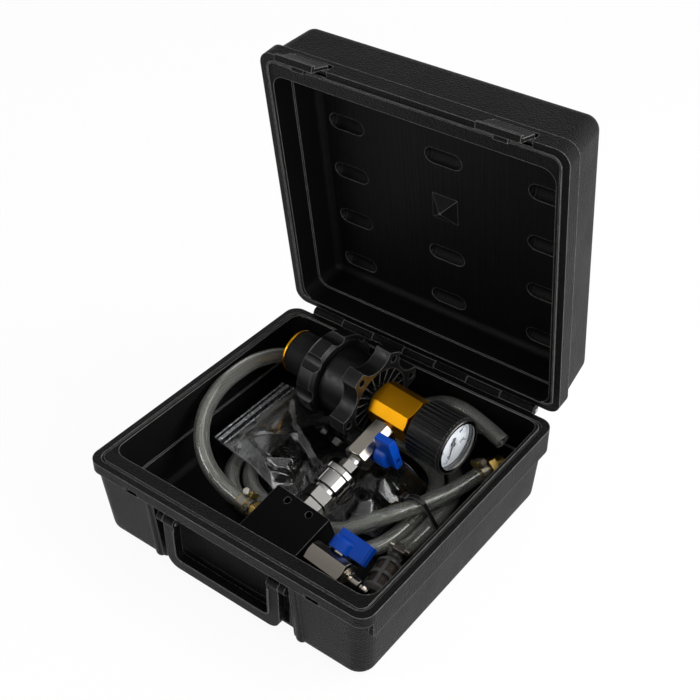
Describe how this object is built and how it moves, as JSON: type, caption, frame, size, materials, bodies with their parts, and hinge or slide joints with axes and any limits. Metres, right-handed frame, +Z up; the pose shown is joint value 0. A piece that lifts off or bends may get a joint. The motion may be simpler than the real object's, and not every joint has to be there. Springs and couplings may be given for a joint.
{
  "type": "coolant vacuum filler kit",
  "caption": "Coolant vacuum filler kit in an open black blow-moulded case: gold filler tool with gauge, blue-lever ball valves, venturi block, clear hoses, strainer and bagged adapters.",
  "frame": {"origin": "middle of the case bottom, on the plane that the case stands on", "axes": "+X along the case front to the viewer's right, +Y from the handle side to the hinge side, +Z up"},
  "size_m": [0.28, 0.3252, 0.3555],
  "materials": {
    "case_plastic": "satin black polyethylene with a moulded grain",
    "pin_steel": "plain steel",
    "gold_anodised": "gold anodised",
    "handwheel_plastic": "glass-filled nylon",
    "black_rubber": "matte",
    "gauge_black": "black enamel",
    "brass": "turned brass",
    "nickel": "nickel plate",
    "chrome": "polished plate",
    "yellow_zinc": "yellow zinc plate",
    "blue_lever": "gloss",
    "block_black": "black anodised",
    "clear_pvc": "clear flexible hose",
    "strainer_plastic": "translucent grey",
    "mesh_steel": "woven wire",
    "bag_film": "clear film",
    "dial_white": "printed dial",
    "needle_black": "matte black",
    "lens_clear": "clear window"
  },
  "bodies": {
    "kit": {"adapter_large": "black_rubber", "adapter_medium": "black_rubber", "adapter_small": "black_rubber", "air_plug": "nickel", "cable_tie": "handwheel_plastic", "case_base": "case_plastic", "centre_tube": "pin_steel", "coupler_body": "chrome", "coupler_nipple": "nickel", "coupler_spring": "pin_steel", "end_washer": "gold_anodised", "exhaust_clamp": "yellow_zinc", "exhaust_hose": "clear_pvc", "feed_clamp": "nickel", "feed_fitting": "brass", "feed_hose": "clear_pvc", "filler_body": "gold_anodised", "gauge_bezel": "gauge_black", "gauge_boot": "black_rubber", "gauge_case": "gauge_black", "gauge_dial": "dial_white", "gauge_lens": "lens_clear", "gauge_movement": "brass", "gauge_stem": "brass", "handle_pins": "pin_steel", "hinge_pin": "pin_steel", "hose_barb": "brass", "quick_plug": "chrome", "rubber_sleeve": "black_rubber", "strainer_cage": "strainer_plastic", "strainer_clamp": "nickel", "strainer_mesh": "mesh_steel", "valve_a_body": "nickel", "valve_a_gland": "nickel", "valve_a_nipple": "brass", "valve_b_body": "nickel", "valve_b_gland": "nickel", "valve_b_nipple": "brass", "venturi_block": "block_black", "venturi_nozzle": "brass", "zip_bag": "bag_film"},
    "lid": {"case_lid": "case_plastic", "latch_pins": "pin_steel"},
    "latch_left": {"latch_left": "case_plastic"},
    "latch_right": {"latch_right": "case_plastic"},
    "handle": {"carry_handle": "case_plastic"},
    "star": {"star_handwheel": "handwheel_plastic"},
    "collar": {"fluted_collar": "handwheel_plastic"},
    "valve_a": {"valve_a_lever": "blue_lever", "valve_a_stem": "brass", "valve_a_ball": "chrome"},
    "valve_b": {"valve_b_lever": "blue_lever", "valve_b_stem": "brass", "valve_b_ball": "chrome"},
    "needle": {"gauge_needle": "needle_black"},
    "coupler_sleeve": {"coupler_sleeve": "chrome"}
  },
  "joints": [
    {"name": "lid_hinge", "type": "hinge", "parent": "kit", "child": "lid", "pos_m": [0, 0.138, 0.0772], "axis": [1, 0, 0], "range_deg": [0, 81.7]},
    {"name": "latch_left_pivot", "type": "hinge", "parent": "lid", "child": "latch_left", "pos_m": [-0.091, 0.10254, 0.34317], "axis": [-1, 0, 0], "range_deg": [-20, 70]},
    {"name": "latch_right_pivot", "type": "hinge", "parent": "lid", "child": "latch_right", "pos_m": [0.091, 0.10254, 0.34317], "axis": [-1, 0, 0], "range_deg": [-20, 70]},
    {"name": "handle_pivot", "type": "hinge", "parent": "kit", "child": "handle", "pos_m": [0, -0.1277, 0.056], "axis": [-1, 0, 0], "range_deg": [0, 100]},
    {"name": "collar_slide", "type": "slide", "parent": "kit", "child": "collar", "axis": [-0.9936, 0.1132, 0], "range_m": [0, 0.0041], "deforming": ["rubber_sleeve"]},
    {"name": "star_turn", "type": "hinge", "parent": "collar", "child": "star", "pos_m": [-0.01771, 0.07569, 0.073], "axis": [0.9936, -0.1132, 0], "range_deg": [0, 360]},
    {"name": "valve_a_turn", "type": "hinge", "parent": "kit", "child": "valve_a", "pos_m": [0.02272, 0.03307, 0.06145], "axis": [0.9918, -0.1233, 0.0334], "range_deg": [0, 90]},
    {"name": "valve_b_turn", "type": "hinge", "parent": "kit", "child": "valve_b", "pos_m": [0.06061, -0.07164, 0.03096], "axis": [-0.0949, -0.8333, -0.5446], "range_deg": [0, 90]},
    {"name": "needle_turn", "type": "hinge", "parent": "kit", "child": "needle", "pos_m": [0.08274, 0.06425, 0.073], "axis": [-0.9936, 0.1132, 0], "range_deg": [0, 270]},
    {"name": "sleeve_slide", "type": "slide", "parent": "kit", "child": "coupler_sleeve", "axis": [-0.1083, -0.9502, -0.2924], "range_m": [0, 0.0032], "deforming": ["coupler_spring"]}
  ],
  "couplings": [
    {"joint": "collar_slide", "follows": "star_turn", "m_per_rad": 0.00063662}
  ]
}
